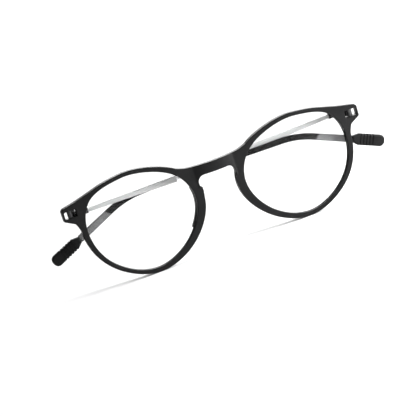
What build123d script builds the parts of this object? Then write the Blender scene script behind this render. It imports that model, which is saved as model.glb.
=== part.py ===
from build123d import *
import os
from math import atan2, cos, degrees, radians, sin

# Folding reading glasses, upright as worn, temples folded flat behind the front.
# Millimetres, +Z up. The front faces -Y, and the wearer's left is +X.
# Origin: middle of the front, level with the bottom of the rims, halfway through the rims' depth.

# Eye openings and rims
lens_width = 47.2           # opening, side to side
lens_height = 41.0          # opening, bottom to top
lens_gap = 22.6             # between the two openings, across the nose
rim_top = 1.8
rim_bottom = 2.0
rim_outer = 2.4
rim_nose = 3.8
rim_depth = 3.0
# Eye shape, as shares of half the width and half the height, round from the top
EYE_SHAPE = [(0.19, 0.995), (0.63, 0.898), (0.81, 0.785), (0.94, 0.58), (1.0, 0.08), (0.84, -0.44),
             (0.49, -0.82), (0.0, -1.0), (-0.5, -0.82), (-0.82, -0.48), (-1.0, 0.1), (-0.86, 0.55),
             (-0.37, 0.905)]

# Bridge and nose pads
bridge_drop = 5.8           # top of the bridge below the top of the openings
bridge_height = 4.5
bridge_bow = 2.0            # how far its middle stands forward
bridge_bow_span = 18.0
bridge_end_angle = 25.0     # how sharply the bow leaves the flat front
bridge_sweep = 9.7          # the top edge's sweep up onto the rim, outside the openings' nose side
bridge_sweep_drop = 1.75    # it meets the rim this far below the top of the opening
bridge_sweep_slope = 0.42   # rise over run where it meets the rim
keyhole_width = 16.4
keyhole_corner = 3.0
keyhole_depth = 5.0         # straight sides under the bridge, down to the pads
pad_step = 1.1              # how far the pads stand into the keyhole
pad_height = 16.0
pad_thickness = 3.1
pad_flare = 5.6             # the pads spread by this much towards their lower ends
pad_low_slope = 0.62        # run over fall at their lower ends
pad_splay = 27.0            # degrees by which the pads spread towards the back
pad_back = 4.0              # how far behind the middle of the rims they reach
pad_round = 0.7

# Endpieces and hinges
endpiece_reach = 5.9        # beyond the rim's outer side
endpiece_side_height = 4.4
endpiece_corner_cut = 0.9
endpiece_top_fall = 0.7     # the top edge falls by this much towards the corner
endpiece_under_cut = 2.4    # fall of the slanting edge under the side
endpiece_inset = 4.3        # the slanting edge's inward run
endpiece_meet = 10.5        # its top edge leaves the rim this far inside the opening's outer side
endpiece_meet_rise = 0.35   # and this far above the opening's top
endpiece_meet_slope = 0.25  # fall over run where it leaves the rim
endpiece_top_slope = 0.2    # fall over run near the corner
endpiece_flank_slope = 0.5  # run over fall where the slanting edge turns down onto the rim
hinge_drop = 7.2            # hinge below the top of the openings
window_height = 3.0
window_wall = 0.9           # left standing outside the window
window_side_gap = 1.4       # open space on each side of the knuckle's barrel
window_corner = 0.5
pin_radius = 0.55
pin_setback = 0.4           # behind the middle of the rims
pin_bite_above = 1.4        # held in the endpiece above the window
pin_bite_below = 2.2
pin_bore_clearance = 0.04
knuckle_wall = 0.56         # round the pin's bore
knuckle_end_clearance = 0.15
link_thickness = 1.1
link_reach = 2.1            # the link's diagonal run, along and across

# Lenses
lens_middle_thickness = 2.0
lens_front_radius = 140.0
lens_back_radius = 190.0
lens_proud = 0.7            # how far the lens bulges past the front of the rims
lens_clearance = 0.05       # between the lens and the rim, all round
bead_height = 0.5
bead_width = 0.8
bead_setback = 0.45         # the bead's middle behind the middle of the rims

# Temples, measured along them from the hinge pin
fold_clearance = 0.35       # between the rims' backs and the right temple, when folded
layer_clearance = 0.45      # between the right temple and the left one folded behind it
right_temple_lift = -1.35   # height from the middle of the hinge window
left_temple_lift = 0.8
right_temple_droop = 0.5    # degrees below level
left_temple_droop = 1.8
socket_start = 1.5
socket_length = 6.5
socket_height = 2.5
socket_wall = 0.3           # on each side of the blade
socket_edge_round = 0.5
blade_root = 3.2            # the blade's end inside the socket
blade_end = 47.3
blade_root_height = 1.6
blade_end_height = 2.7
blade_thickness = 1.5
rod_thickness = 0.9
rod_height = 1.4
rod_edge_round = 0.4
rod_hold = 12.0             # length held inside the blade, and inside the bar
bar_start = 60.5
bar_start_height = 2.0
bar_end_height = 3.1        # where it meets the tip
bar_thickness = 1.3
bar_edge_round = 0.35
bend_start = 95.5
bend_radius = 36.6
bend_angle = 22.0
bend_steps = 4              # points that shape each edge of the bend
bend_to_end = 32.4          # straight run from the bend to the end of the tip

# Rubber tips
tip_length = 15.0
tip_height = 5.0
tip_side_wall = 0.75        # on each side of the bar
tip_neck_wall = 0.4         # above and below the bar's tongue
tip_taper = 3.2
tip_end_round = 2.2
tip_edge_round = 0.9
tongue_length = 9.0         # the bar's narrow end, inside the tip
tongue_root = 2.0           # and inside the bar's own end
tongue_height = 1.5
groove_count = 5
groove_pitch = 1.4
groove_width = 0.45
groove_depth = 0.3

# Worked out from the sizes above
half_depth = rim_depth / 2
eye_nose = lens_gap / 2
eye_outer = eye_nose + lens_width
eye_bottom = rim_bottom
eye_top = rim_bottom + lens_height
eye_middle = eye_nose + lens_width / 2
front_half = eye_outer + rim_outer + endpiece_reach
knuckle_radius = pin_radius + pin_bore_clearance + knuckle_wall
window_width = 2 * (knuckle_radius + window_side_gap)
hinge_z = eye_top - hinge_drop
hinge_x = front_half - window_wall - window_width / 2
pin_top = hinge_z + window_height / 2 + pin_bite_above
pin_bottom = hinge_z - window_height / 2 - pin_bite_below
bridge_top = eye_top - bridge_drop
bridge_under = bridge_top - bridge_height
pad_top = bridge_under - keyhole_depth
socket_thickness = blade_thickness + 2 * socket_wall
tip_thickness = bar_thickness + 2 * tip_side_wall
tip_neck_height = tongue_height + 2 * tip_neck_wall
# Middle of each folded temple behind its pin: the right one clears the rims, the left one clears it
right_fold_gap = half_depth - pin_setback + fold_clearance + max(socket_thickness, tip_thickness) / 2
left_fold_gap = right_fold_gap + (blade_thickness + bar_thickness) / 2 + layer_clearance


def slab(sketch, front_y, back_y):
    """A flat drawing in X and Z, given depth from front_y back to back_y."""
    return extrude(Plane.XZ.offset(-back_y) * sketch, amount=back_y - front_y)


def upright(sketch, bottom_z, top_z):
    """A drawing in X and Y, given height from bottom_z up to top_z."""
    return extrude(Plane.XY.offset(bottom_z) * sketch, amount=top_z - bottom_z)


def both_sides(shape):
    return shape + mirror(shape, about=Plane.YZ)


def eye_face(grow_nose=0.0, grow_outer=0.0, grow_bottom=0.0, grow_top=0.0):
    """The left eye's shape, filling the opening's box grown by these amounts."""
    left = eye_nose - grow_nose
    right = eye_outer + grow_outer
    bottom = eye_bottom - grow_bottom
    top = eye_top + grow_top
    middle = Vector((left + right) / 2, (bottom + top) / 2)
    half_width = (right - left) / 2
    half_height = (top - bottom) / 2
    points = [middle + Vector(x * half_width, z * half_height) for x, z in EYE_SHAPE]
    return make_face(Spline(*points, periodic=True))


def eye_face_grown(amount):
    return eye_face(amount, amount, amount, amount)


def endpiece_face():
    """The angular plate outside the rim that holds the hinge."""
    side_top = hinge_z + endpiece_side_height / 2
    side_bottom = hinge_z - endpiece_side_height / 2
    corner = (front_half - endpiece_corner_cut, side_top + endpiece_corner_cut)
    top_inner = (front_half - endpiece_inset, corner[1] + endpiece_top_fall)
    rim_meet = (eye_outer - endpiece_meet, eye_top + endpiece_meet_rise)
    under = (front_half - endpiece_inset, side_bottom - endpiece_under_cut)
    rim_side = (eye_outer + rim_outer, under[1] - endpiece_reach)
    inside = (eye_middle, rim_side[1])
    top_tangents = [(1, -endpiece_meet_slope), (1, -endpiece_top_slope)]
    top = Spline(rim_meet, top_inner, tangents=top_tangents)
    edge = Polyline(top_inner, corner, (front_half, side_top), (front_half, side_bottom), under)
    flank = Spline(under, rim_side, tangents=[(-endpiece_flank_slope, -1), (0, -1)])
    back = Polyline(rim_side, inside, rim_meet)
    return make_face(top + edge + flank + back)


def window_sketch():
    return Pos(hinge_x, hinge_z) * RectangleRounded(window_width, window_height, window_corner)


def bridge_sketch():
    """Everything between the rims in the front view, with the keyhole cut out."""
    flat_x = keyhole_width / 2
    rim_meet = (eye_nose + bridge_sweep, eye_top - bridge_sweep_drop)
    top_edge = Spline((flat_x, bridge_top), rim_meet, tangents=[(1, 0), (1, bridge_sweep_slope)])
    rest = Polyline(rim_meet, (rim_meet[0], pad_top), (0, pad_top), (0, bridge_top),
                    (flat_x, bridge_top))
    plate = both_sides(make_face(top_edge + rest))
    keyhole_height = 2 * (bridge_under - pad_top)
    keyhole = Pos(0, pad_top) * RectangleRounded(keyhole_width, keyhole_height, keyhole_corner)
    return plate - keyhole


def front_plate():
    """Rims, endpieces and the bridge's flat shoulders, as one flat plate."""
    rim = eye_face(rim_nose, rim_outer, rim_bottom, rim_top)
    middle = Rectangle(bridge_bow_span, 4 * lens_height)
    flat = both_sides(rim + endpiece_face()) + (bridge_sketch() - middle)
    return flat - both_sides(eye_face())


def bow_line(end_y):
    """The bridge's bow in the plan view, leaving the front at the same angle on both sides."""
    half = bridge_bow_span / 2
    along = cos(radians(bridge_end_angle))
    forward = sin(radians(bridge_end_angle))
    points = [(-half, end_y), (0, end_y - bridge_bow), (half, end_y)]
    return Spline(*points, tangents=[(along, -forward), (1, 0), (along, forward)])


def bowed_bridge():
    """The bridge's middle, bowed forward between the two shoulders."""
    half = bridge_bow_span / 2
    right_end = Line((-half, -half_depth), (-half, half_depth))
    left_end = Line((half, -half_depth), (half, half_depth))
    band = make_face(bow_line(-half_depth) + left_end + bow_line(half_depth) + right_end)
    return slab(bridge_sketch(), -3 * rim_depth, 3 * rim_depth) & upright(band, 0, 2 * eye_top)


def nose_pad():
    """The left pad: a rounded lobe on the rim's nose side, reaching back towards the nose."""
    inner = keyhole_width / 2 - pad_step
    top = pad_top + pad_step
    bottom = pad_top - pad_height
    low_x = inner + pad_flare
    face_line = Spline((inner, pad_top), (low_x, bottom), tangents=[(0, -1), (pad_low_slope, -1)])
    rest = Polyline((low_x, bottom), (low_x + pad_thickness, bottom + pad_thickness),
                    (inner + pad_thickness, pad_top), (keyhole_width / 2 + pad_thickness, top),
                    (keyhole_width / 2, top), (inner, pad_top))
    splay = radians(pad_splay)
    length = (half_depth + pad_back) / cos(splay)
    face = Plane.XZ.offset(half_depth) * make_face(face_line + rest)
    lobe = extrude(face, amount=length, dir=(sin(splay), cos(splay), 0))
    return fillet(lobe.edges().group_by(Axis.Y)[-1], pad_round)


def front_frame():
    """The whole moulded front, with the lens grooves, hinge windows and pin holes cut in."""
    body = slab(front_plate(), -half_depth, half_depth)
    body += bowed_bridge()
    body += both_sides(nose_pad() - slab(eye_face(), -rim_depth, 2 * pad_back))
    groove_half = bead_width / 2 + lens_clearance
    groove = slab(eye_face_grown(bead_height + lens_clearance), bead_setback - groove_half,
                  bead_setback + groove_half)
    body -= both_sides(groove)
    body -= both_sides(slab(window_sketch(), -rim_depth, rim_depth))
    body -= both_sides(upright(Pos(hinge_x, pin_setback) * Circle(pin_radius), 0, pin_top))
    return body


def hinge_pin():
    """The left hinge's pin, pushed up into the endpiece from below."""
    return upright(Pos(hinge_x, pin_setback) * Circle(pin_radius), pin_bottom, pin_top)


def lens():
    """The left lens: a plus meniscus with a flat bead round its edge that sits in the rim's groove."""
    front_apex = -half_depth - lens_proud
    back_apex = front_apex + lens_middle_thickness
    middle_z = (eye_bottom + eye_top) / 2
    front_ball = Pos(eye_middle, front_apex + lens_front_radius, middle_z) * Sphere(lens_front_radius)
    back_ball = Pos(eye_middle, back_apex + lens_back_radius, middle_z) * Sphere(lens_back_radius)
    blank = slab(eye_face_grown(-lens_clearance), front_apex - 1, half_depth)
    bead = slab(eye_face_grown(bead_height), bead_setback - bead_width / 2,
                bead_setback + bead_width / 2)
    bead -= slab(eye_face_grown(-rim_top), -rim_depth, rim_depth)
    return (blank & front_ball) - back_ball + bead


def link_run(start, end):
    """One straight run of the hinge link in the plan view, round at both ends."""
    run = Vector(*end) - Vector(*start)
    middle = (Vector(*start) + Vector(*end)) / 2
    angle = degrees(atan2(run.Y, run.X))
    slot = SlotCenterToCenter(run.length, link_thickness)
    return Pos(middle.X, middle.Y) * Rot(0, 0, angle) * slot


def behind_pin(shape, gap, lift, droop):
    """Puts a part of the temple behind its pin, drooping slightly away from the hinge."""
    return Pos(0, gap, lift) * Rot(0, droop, 0) * shape


def knuckle(gap, lift, droop):
    """Barrel round the pin, the link behind it, and the socket that holds the blade."""
    half = window_height / 2 - knuckle_end_clearance
    corner = (link_reach, link_reach)
    plan = Circle(knuckle_radius) + link_run((0, 0), corner) + link_run(corner, (link_reach, gap))
    arm = upright(plan, -half, half)
    socket_middle = Pos(socket_start + socket_length / 2, 0, 0)
    socket = socket_middle * Box(socket_length, socket_thickness, socket_height)
    socket = fillet(socket.edges().filter_by(Axis.X), socket_edge_round)
    arm += behind_pin(socket, gap, lift, droop)
    arm -= behind_pin(blade_blank(), gap, lift, droop)
    return arm - upright(Circle(pin_radius + pin_bore_clearance), -window_height, window_height)


def blade_blank():
    """Flat strip from the hinge, thin at the hinge and tallest at its free end."""
    root = blade_root_height / 2
    end = blade_end_height / 2
    outline = Polyline((blade_root, -root), (blade_end, -end), (blade_end, end), (blade_root, root),
                       (blade_root, -root))
    strip = slab(make_face(outline), -blade_thickness / 2, blade_thickness / 2)
    long_edges = [e for e in strip.edges() if e.length > blade_end / 2]
    return fillet(long_edges, bar_edge_round)


def rod():
    """Flattened steel rod between the blade and the bar, held inside both."""
    start = blade_end - rod_hold
    length = bar_start + rod_hold - start
    strip = Pos(start + length / 2, 0, 0) * Box(length, rod_thickness, rod_height)
    return fillet(strip.edges().filter_by(Axis.X), rod_edge_round)


def middle_line():
    """Middle line of the bar: level, bent down behind the ear, then straight to the tip."""
    level = Line((bar_start, 0), (bend_start, 0))
    ear_bend = JernArc(level @ 1, (1, 0), bend_radius, -bend_angle)
    tail = Line(ear_bend @ 1, ear_bend @ 1 + (ear_bend % 1) * (bend_to_end - tip_length))
    return level, ear_bend, tail


def bar_edge(side):
    """The bar's upper (side 1) or lower (side -1) edge, as it grows taller towards the tip."""
    level, ear_bend, tail = middle_line()
    whole = level.length + ear_bend.length + tail.length
    growth = (bar_end_height - bar_start_height) / whole

    def beside(line, share, before):
        half = (bar_start_height + growth * (before + share * line.length)) / 2
        return line @ share + (line % share).rotate(Axis.Z, 90) * half * side

    bend_shares = [step / bend_steps for step in range(bend_steps + 1)]
    bent = [beside(ear_bend, share, level.length) for share in bend_shares]
    first = Line(beside(level, 0, 0), bent[0])
    last = Line(bent[-1], beside(tail, 1, whole - tail.length))
    return first, Spline(*bent, tangents=[first % 0, last % 0]), last


def at_tip(shape):
    """Puts a shape drawn along X at the end of the bar, in line with it."""
    end = middle_line()[-1] @ 1
    return Pos(end.X, 0, end.Y) * Rot(0, bend_angle, 0) * shape


def bar():
    """Slim bar from the rod to the tip, with a narrow tongue that goes inside the tip."""
    upper = bar_edge(1)
    lower = bar_edge(-1)
    ends = [Line(upper[0] @ 0, lower[0] @ 0), Line(upper[-1] @ 1, lower[-1] @ 1)]
    body = slab(make_face([*upper, *lower, *ends]), -bar_thickness / 2, bar_thickness / 2)
    body = fillet(body.faces().filter_by(Axis.Y).edges(), bar_edge_round)
    tongue = Box(tongue_length + tongue_root, bar_thickness, tongue_height)
    tongue = fillet(tongue.edges().filter_by(Axis.X), bar_edge_round)
    return body + at_tip(Pos((tongue_length - tongue_root) / 2, 0, 0) * tongue)


def tip():
    """Grooved rubber tip: a neck that widens into a flat pad with a round end."""
    neck = tip_neck_height / 2
    half = tip_height / 2
    outline = Polyline((0, -neck), (tip_taper, -half), (tip_length, -half), (tip_length, half),
                       (tip_taper, half), (0, neck), (0, -neck))
    face = make_face(outline)
    face = fillet(face.vertices().group_by(Axis.X)[-1], tip_end_round)
    body = slab(face, -tip_thickness / 2, tip_thickness / 2)
    body = fillet(body.faces().filter_by(Axis.Y).edges(), tip_edge_round)
    core = Box(tip_length, tip_thickness - 2 * groove_depth, tip_height - 2 * groove_depth)
    core = fillet(core.edges().filter_by(Axis.X), tip_edge_round - groove_depth)
    for number in range(groove_count):
        cutter = Box(groove_width, 2 * tip_thickness, 2 * tip_height)
        place = Pos(tip_taper + 0.5 * groove_pitch + number * groove_pitch, 0, 0)
        body -= place * (cutter - core)
    return at_tip(body) - bar()


def temple(*seat):
    """The right temple's pieces round its own pin, reaching towards +X when folded."""
    return {
        "temple_knuckle": knuckle(*seat),
        "temple_blade": behind_pin(blade_blank() - rod(), *seat),
        "temple_rod": behind_pin(rod(), *seat),
        "temple_bar": behind_pin(bar() - rod(), *seat),
        "temple_tip": behind_pin(tip(), *seat),
    }


def assembly():
    left_pin = hinge_pin()
    left_lens = lens()
    nodes = {
        "front_frame": front_frame(),
        "left_lens": left_lens,
        "right_lens": mirror(left_lens, about=Plane.YZ),
        "left_hinge_pin": left_pin,
        "right_hinge_pin": mirror(left_pin, about=Plane.YZ),
    }
    hinge = Pos(-hinge_x, pin_setback, hinge_z)
    right_temple = temple(right_fold_gap, right_temple_lift, right_temple_droop)
    left_temple = temple(left_fold_gap, left_temple_lift, left_temple_droop)
    for name, shape in right_temple.items():
        nodes["right_" + name] = hinge * shape
    for name, shape in left_temple.items():
        nodes["left_" + name] = mirror(hinge * shape, about=Plane.YZ)
    return nodes


os.makedirs("parts", exist_ok=True)
for node, shape in assembly().items():
    export_step(shape, f"parts/{node}.step")
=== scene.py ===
from math import cos, radians, sin

import bmesh
import bpy
from mathutils import Matrix, Vector


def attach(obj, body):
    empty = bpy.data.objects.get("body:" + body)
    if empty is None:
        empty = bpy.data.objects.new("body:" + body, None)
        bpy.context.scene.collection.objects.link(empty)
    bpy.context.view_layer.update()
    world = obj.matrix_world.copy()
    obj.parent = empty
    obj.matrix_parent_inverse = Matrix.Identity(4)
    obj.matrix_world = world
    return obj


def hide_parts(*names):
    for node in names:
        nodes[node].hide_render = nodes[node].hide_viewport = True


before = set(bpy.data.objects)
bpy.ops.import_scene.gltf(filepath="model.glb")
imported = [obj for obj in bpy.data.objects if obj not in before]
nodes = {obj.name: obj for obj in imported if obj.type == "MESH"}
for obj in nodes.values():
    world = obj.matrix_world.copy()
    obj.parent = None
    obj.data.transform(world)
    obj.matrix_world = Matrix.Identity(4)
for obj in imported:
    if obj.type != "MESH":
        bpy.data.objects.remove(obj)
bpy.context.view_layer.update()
scene = bpy.context.scene

MM = 0.001

# Camera: where it stands round the glasses, and how far it leans
aim = Vector((-7.4, 0.0, 18.2)) * MM
camera_distance = 820 * MM
camera_left_turn = radians(13.2)
camera_height_angle = radians(13.0)
camera_lean = radians(17.27)
sensor_width = 36.0
focal_length = 170.6

# Where the bent end of each bar starts its rougher satin finish and its painted reflection, a lighter grey,
# on the slanting line |x| - slant * z
satin_and_sheen_slant = 1.5
satin_and_sheen_line = 2.4 * MM
satin_and_sheen_blur = 0.3 * MM

# Rounding of moulded edges
weld_distance = 0.002 * MM
frame_voxel = 0.15 * MM
smoothing_factor = 0.5
frame_smoothing = 16

# The part of a noise's range that is spread over a look's two ends
grain_low, grain_high = 0.3, 0.7
mottle_low, mottle_high = 0.35, 0.65
mottle_size = 9 * MM

# Lines along brushed metal
line_width = 0.12 * MM
line_stretch = (60, 1, 1)
line_depth = 0.004 * MM

# Edge wear: how sharp an edge has to be to show some, and all, of it, and how much lighter it gets
wear_from, wear_full = 0.53, 0.66
wear_strength = 0.5
plastic_lightening = 1.9
metal_lightening = 1.2
lightest_metal = 0.85

# Lenses: a coating keeps their reflection low, and their edges, facing sideways, are painted black with a
# dark metallic reflection: painted shade over the bright light they would refract
lens_index = 1.2
lens_face, lens_edge = 0.8, 0.6
lens_shadow = (0.93, 0.94, 0.94, 1)


# ---------------------------------------------------------------- materials

class Look:
    """A Principled material being built from nodes in the object's own coordinates."""

    def __init__(self, name):
        self.material = bpy.data.materials.new(name)
        self.material.use_nodes = True
        self.tree = self.material.node_tree
        self.shader = self.tree.nodes["Principled BSDF"]
        self.place = self.add("ShaderNodeTexCoord").outputs["Object"]

    def add(self, kind, **settings):
        node = self.tree.nodes.new(kind)
        for key, value in settings.items():
            setattr(node, key, value)
        return node

    def link(self, source, target):
        self.tree.links.new(source, target)

    def set(self, **values):
        for key, value in values.items():
            self.shader.inputs[key.replace("_", " ")].default_value = value

    def noise(self, size, detail=3.0, stretch=(1, 1, 1)):
        """Noise whose features are about size across, drawn out by stretch along each axis."""
        scaling = self.add("ShaderNodeMapping")
        scaling.inputs["Scale"].default_value = [1 / s for s in stretch]
        self.link(self.place, scaling.inputs["Vector"])
        texture = self.add("ShaderNodeTexNoise")
        texture.inputs["Scale"].default_value = 1 / size
        texture.inputs["Detail"].default_value = detail
        self.link(scaling.outputs["Vector"], texture.inputs["Vector"])
        return texture.outputs["Fac"]

    def ramp(self, value, low, high, low_out, high_out):
        """Number or colour going from low_out to high_out as value goes from low to high."""
        if isinstance(low_out, (int, float)):
            node = self.add("ShaderNodeMapRange")
            node.inputs["From Min"].default_value = low
            node.inputs["From Max"].default_value = high
            node.inputs["To Min"].default_value = low_out
            node.inputs["To Max"].default_value = high_out
            self.link(value, node.inputs["Value"])
            return node.outputs["Result"]
        node = self.add("ShaderNodeValToRGB")
        first, last = node.color_ramp.elements
        first.position, first.color = low, (*low_out, 1)
        last.position, last.color = high, (*high_out, 1)
        self.link(value, node.inputs["Fac"])
        return node.outputs["Color"]

    def mix(self, amount, first, second):
        """Number or colour going from first to second as amount goes from 0 to 1."""
        node = self.add("ShaderNodeMix", data_type="RGBA")
        self.link(amount, node.inputs["Factor"])
        self.link(first, node.inputs["A"])
        self.link(second, node.inputs["B"])
        return node.outputs["Result"]

    def rubbed(self, colour, edge_colour):
        """The colour, going part way to edge_colour along outer edges worn by handling."""
        sharpness = self.add("ShaderNodeNewGeometry").outputs["Pointiness"]
        worn = self.ramp(sharpness, wear_from, wear_full, 0.0, wear_strength)
        return self.mix(worn, colour, self.plain(edge_colour))

    def plain(self, colour):
        """One colour all over."""
        node = self.add("ShaderNodeRGB")
        node.outputs[0].default_value = (*colour, 1)
        return node.outputs[0]

    def size_of(self, vector, axis):
        """How far a vector reaches along an axis, whichever way it points."""
        split = self.add("ShaderNodeSeparateXYZ")
        self.link(vector, split.inputs[0])
        node = self.add("ShaderNodeMath", operation="ABSOLUTE")
        self.link(split.outputs[axis], node.inputs[0])
        return node.outputs[0]

    def bump(self, height, depth):
        """A surface raised by height times depth."""
        node = self.add("ShaderNodeBump")
        node.inputs["Distance"].default_value = depth
        node.inputs["Strength"].default_value = 1.0
        self.link(height, node.inputs["Height"])
        return node.outputs["Normal"]


def moulded(name, dark, light, rough, grain, depth, gloss=0.5):
    """Moulded plastic or rubber: faint mottling, fine grain, and edges rubbed a little lighter."""
    look = Look(name)
    mottle = look.ramp(look.noise(mottle_size), mottle_low, mottle_high, dark, light)
    rubbed_colour = [channel * plastic_lightening for channel in light]
    look.link(look.rubbed(mottle, rubbed_colour), look.shader.inputs["Base Color"])
    fine = look.noise(grain, detail=4.0)
    roughness = look.ramp(fine, grain_low, grain_high, rough - 0.06, rough + 0.06)
    look.link(roughness, look.shader.inputs["Roughness"])
    look.link(look.bump(fine, depth), look.shader.inputs["Normal"])
    look.set(Specular_IOR_Level=gloss)
    return look


def bar_end_satin_and_painted_sheen(look):
    """The bent-down end of each bar, past a slanting line, turns to a rougher satin finish with a lighter
    grey that is painted reflection of the bend.
    """
    split = look.add("ShaderNodeSeparateXYZ")
    look.link(look.place, split.inputs[0])
    slant = look.add("ShaderNodeMath", operation="MULTIPLY_ADD")
    look.link(split.outputs["Z"], slant.inputs[0])
    slant.inputs[1].default_value = -satin_and_sheen_slant
    look.link(look.size_of(look.place, "X"), slant.inputs[2])
    past = look.ramp(slant.outputs[0], satin_and_sheen_line - satin_and_sheen_blur, satin_and_sheen_line + satin_and_sheen_blur, 0.0, 1.0)
    grain = look.noise(0.09 * MM, detail=4.0)
    # The lighter grey here is painted reflection of the bent end; the higher roughness is its satin finish
    blasted_and_painted_sheen = {
        "Base Color": look.ramp(grain, grain_low, grain_high, (0.11, 0.11, 0.112), (0.16, 0.16, 0.162)),
        "Roughness": look.ramp(grain, grain_low, grain_high, 0.4, 0.5),
    }
    for socket, satin in blasted_and_painted_sheen.items():
        target = look.shader.inputs[socket]
        look.link(look.mix(past, target.links[0].from_socket, satin), target)


def brushed(name, dark, light, rough, metallic):
    """Metal drawn or brushed along its length, its edges rubbed a little lighter."""
    look = Look(name)
    lines = look.noise(line_width, detail=5.0, stretch=line_stretch)
    drawn = look.ramp(lines, grain_low, grain_high, dark, light)
    rubbed_colour = [min(channel * metal_lightening, lightest_metal) for channel in light]
    look.link(look.rubbed(drawn, rubbed_colour), look.shader.inputs["Base Color"])
    roughness = look.ramp(lines, grain_low, grain_high, rough - 0.05, rough + 0.08)
    look.link(roughness, look.shader.inputs["Roughness"])
    look.link(look.bump(lines, line_depth), look.shader.inputs["Normal"])
    look.set(Metallic=metallic)
    return look


def lens_glass():
    """Clear coated plastic whose sideways edge is painted black as painted shade, that lets the lamps' light
    through to the floor.
    """
    look = Look("clear_lens_look")
    facing = look.size_of(look.add("ShaderNodeTexCoord").outputs["Normal"], "Y")
    # Painted shade: the sideways-facing edge goes black and metallic, so it shows no bright refracted light
    edge_shade_mask = look.ramp(facing, lens_edge, lens_face, 1.0, 0.0)
    clear = look.plain((0.985, 0.988, 0.986))
    painted_edge_shade = look.plain((0.01, 0.01, 0.01))
    look.link(look.mix(edge_shade_mask, clear, painted_edge_shade), look.shader.inputs["Base Color"])
    smear = look.ramp(look.noise(14 * MM), 0.3, 0.8, 0.0, 0.02)
    ground = look.ramp(look.noise(0.1 * MM), grain_low, grain_high, 0.8, 0.9)
    look.link(look.mix(edge_shade_mask, smear, ground), look.shader.inputs["Roughness"])
    look.link(edge_shade_mask, look.shader.inputs["Metallic"])
    look.set(Transmission_Weight=1.0, IOR=lens_index)
    through = look.add("ShaderNodeBsdfTransparent")
    through.inputs["Color"].default_value = lens_shadow
    rays = look.add("ShaderNodeLightPath")
    either = look.add("ShaderNodeMixShader")
    look.link(rays.outputs["Is Shadow Ray"], either.inputs["Fac"])
    look.link(look.shader.outputs["BSDF"], either.inputs[1])
    look.link(through.outputs["BSDF"], either.inputs[2])
    look.link(either.outputs["Shader"], look.tree.nodes["Material Output"].inputs["Surface"])
    return look


frame_look = moulded(
    "matte_frame_look", dark=(0.008, 0.008, 0.0083), light=(0.0115, 0.0115, 0.0118),
    rough=0.4, grain=0.11 * MM, depth=0.012 * MM, gloss=0.11)
knuckle_look = moulded(
    "black_knuckle_look", dark=(0.008, 0.008, 0.009), light=(0.012, 0.012, 0.013),
    rough=0.32, grain=0.08 * MM, depth=0.005 * MM)
tip_look = moulded(
    "tip_rubber_look", dark=(0.005, 0.005, 0.0052), light=(0.008, 0.008, 0.0083),
    rough=0.55, grain=0.1 * MM, depth=0.012 * MM, gloss=0.11)
bar_look = moulded(
    "gloss_bar_look", dark=(0.003, 0.003, 0.0031), light=(0.005, 0.005, 0.0051),
    rough=0.24, grain=0.15 * MM, depth=0.0006 * MM, gloss=0.1)
bar_end_satin_and_painted_sheen(bar_look)
blade_look = brushed(
    "satin_blade_look", dark=(0.33, 0.33, 0.332), light=(0.44, 0.44, 0.442), rough=0.4, metallic=0.35)
rod_look = brushed(
    "rod_steel_look", dark=(0.5, 0.5, 0.51), light=(0.64, 0.64, 0.65), rough=0.26, metallic=1.0)
pin_look = brushed(
    "pin_steel_look", dark=(0.2, 0.2, 0.205), light=(0.3, 0.3, 0.305), rough=0.35, metallic=1.0)
glass_look = lens_glass()

# The last word of a node's name says what it is made of
LOOKS = {
    "frame": frame_look,
    "lens": glass_look,
    "pin": pin_look,
    "knuckle": knuckle_look,
    "blade": blade_look,
    "rod": rod_look,
    "bar": bar_look,
    "tip": tip_look,
}


def dress(piece, look):
    """The look becomes the piece's only material."""
    piece.data.materials.clear()
    piece.data.materials.append(look.material)


# ---------------------------------------------------------------- pieces

def rounded_copy(node, name, voxel, smoothing):
    """The node's shape with its moulded edges rounded, as a new mesh of its own."""
    mesh = nodes[node].data.copy()
    welded = bmesh.new()
    welded.from_mesh(mesh)
    bmesh.ops.remove_doubles(welded, verts=welded.verts, dist=weld_distance)
    welded.to_mesh(mesh)
    welded.free()
    piece = bpy.data.objects.new(name, mesh)
    scene.collection.objects.link(piece)
    even = piece.modifiers.new("even", "REMESH")
    even.mode = "VOXEL"
    even.voxel_size = voxel
    soft = piece.modifiers.new("soft", "SMOOTH")
    soft.factor = smoothing_factor
    soft.iterations = smoothing
    finished = piece.evaluated_get(bpy.context.evaluated_depsgraph_get())
    piece.data = bpy.data.meshes.new_from_object(finished)
    piece.modifiers.clear()
    for face in piece.data.polygons:
        face.use_smooth = True
    return piece


for node_name, node in nodes.items():
    dress(node, LOOKS[node_name.split("_")[-1]])

front = rounded_copy("front_frame", "moulded_front", frame_voxel, frame_smoothing)
dress(front, frame_look)
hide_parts("front_frame")
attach(front, "front")


# ---------------------------------------------------------------- stage

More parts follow.
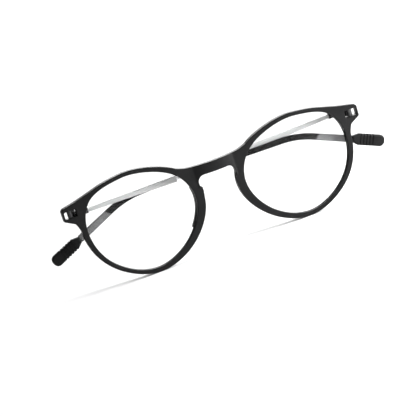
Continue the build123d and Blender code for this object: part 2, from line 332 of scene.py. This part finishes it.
def floor():
    """A plain pale floor at the height of the rims' lowest points."""
    half = 3.0
    corners = [(-half, -half, 0), (half, -half, 0), (half, half, 0), (-half, half, 0)]
    mesh = bpy.data.meshes.new("pale_floor")
    mesh.from_pydata(corners, [], [(0, 1, 2, 3)])
    ground = bpy.data.objects.new("pale_floor", mesh)
    scene.collection.objects.link(ground)
    look = Look("pale_floor_look")
    pale = look.ramp(look.noise(30 * MM), grain_low, grain_high, (0.9, 0.9, 0.9), (0.93, 0.93, 0.93))
    look.link(pale, look.shader.inputs["Base Color"])
    look.set(Roughness=0.9, Specular_IOR_Level=0.1)
    dress(ground, look)


def softbox(name, place, size, power):
    """A rectangular lamp, its place and size in metres and its power in watts, facing the glasses."""
    light = bpy.data.lights.new(name, "AREA")
    light.shape = "RECTANGLE"
    light.size, light.size_y = size
    light.energy = power
    lamp = bpy.data.objects.new(name, light)
    lamp.location = place
    toward = aim - Vector(place)
    lamp.rotation_euler = toward.to_track_quat("-Z", "Y").to_euler()
    scene.collection.objects.link(lamp)


def camera():
    """The camera, standing back from the aim: turned to the left, raised, and leaning."""
    level = cos(camera_height_angle)
    back = Vector((-sin(camera_left_turn) * level, -cos(camera_left_turn) * level, sin(camera_height_angle)))
    data = bpy.data.cameras.new("camera")
    data.sensor_width = sensor_width
    data.lens = focal_length
    data.clip_start = 0.05
    eye = bpy.data.objects.new("camera", data)
    upright = back.to_track_quat("Z", "Y").to_matrix().to_4x4()
    lean = Matrix.Rotation(-camera_lean, 4, "Z")
    eye.matrix_world = Matrix.Translation(aim + back * camera_distance) @ upright @ lean
    scene.collection.objects.link(eye)
    scene.camera = eye


def studio_air(strength):
    """Even white light from all round."""
    world = bpy.data.worlds.new("studio")
    world.use_nodes = True
    background = world.node_tree.nodes["Background"]
    background.inputs["Color"].default_value = (1, 1, 1, 1)
    background.inputs["Strength"].default_value = strength
    scene.world = world


floor()
camera()
softbox("overhead", place=(0.1, 0.15, 1.1), size=(1.0, 0.7), power=8)
softbox("backdrop", place=(0.5, 1.2, 0.42), size=(1.0, 0.7), power=13)
softbox("right_side", place=(0.29, -0.13, 0.13), size=(0.14, 0.16), power=2.6)
studio_air(0.12)
scene.view_settings.view_transform = "Standard"
